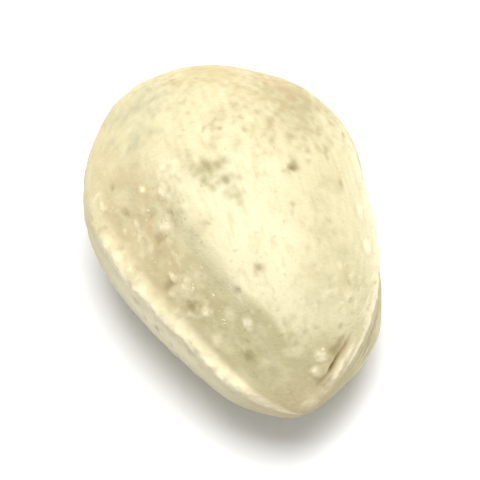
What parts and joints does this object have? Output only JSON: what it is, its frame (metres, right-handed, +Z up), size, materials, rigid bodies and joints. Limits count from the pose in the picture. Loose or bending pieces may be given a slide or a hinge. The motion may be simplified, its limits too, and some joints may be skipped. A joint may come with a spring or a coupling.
{
  "type": "moringa seed",
  "caption": "Whole moringa seed in its hard pale shell, egg-shaped with lengthwise keels and a hollow band, lying on its side; a loose seed for food, oil or sowing.",
  "frame": {"origin": "middle of the bottom of the seed's box, on the level of the small flat spot that it rests on", "axes": "+Y along the seed's long axis towards its blunt end, so the tip points to -Y; +Z up; the hollow band is on the -X side"},
  "size_m": [0.0096, 0.013, 0.008],
  "materials": {
    "seed_shell": "dry, matt, dusty cream seed shell"
  },
  "bodies": {
    "root": {"moringa_seed": "seed_shell"}
  },
  "joints": []
}
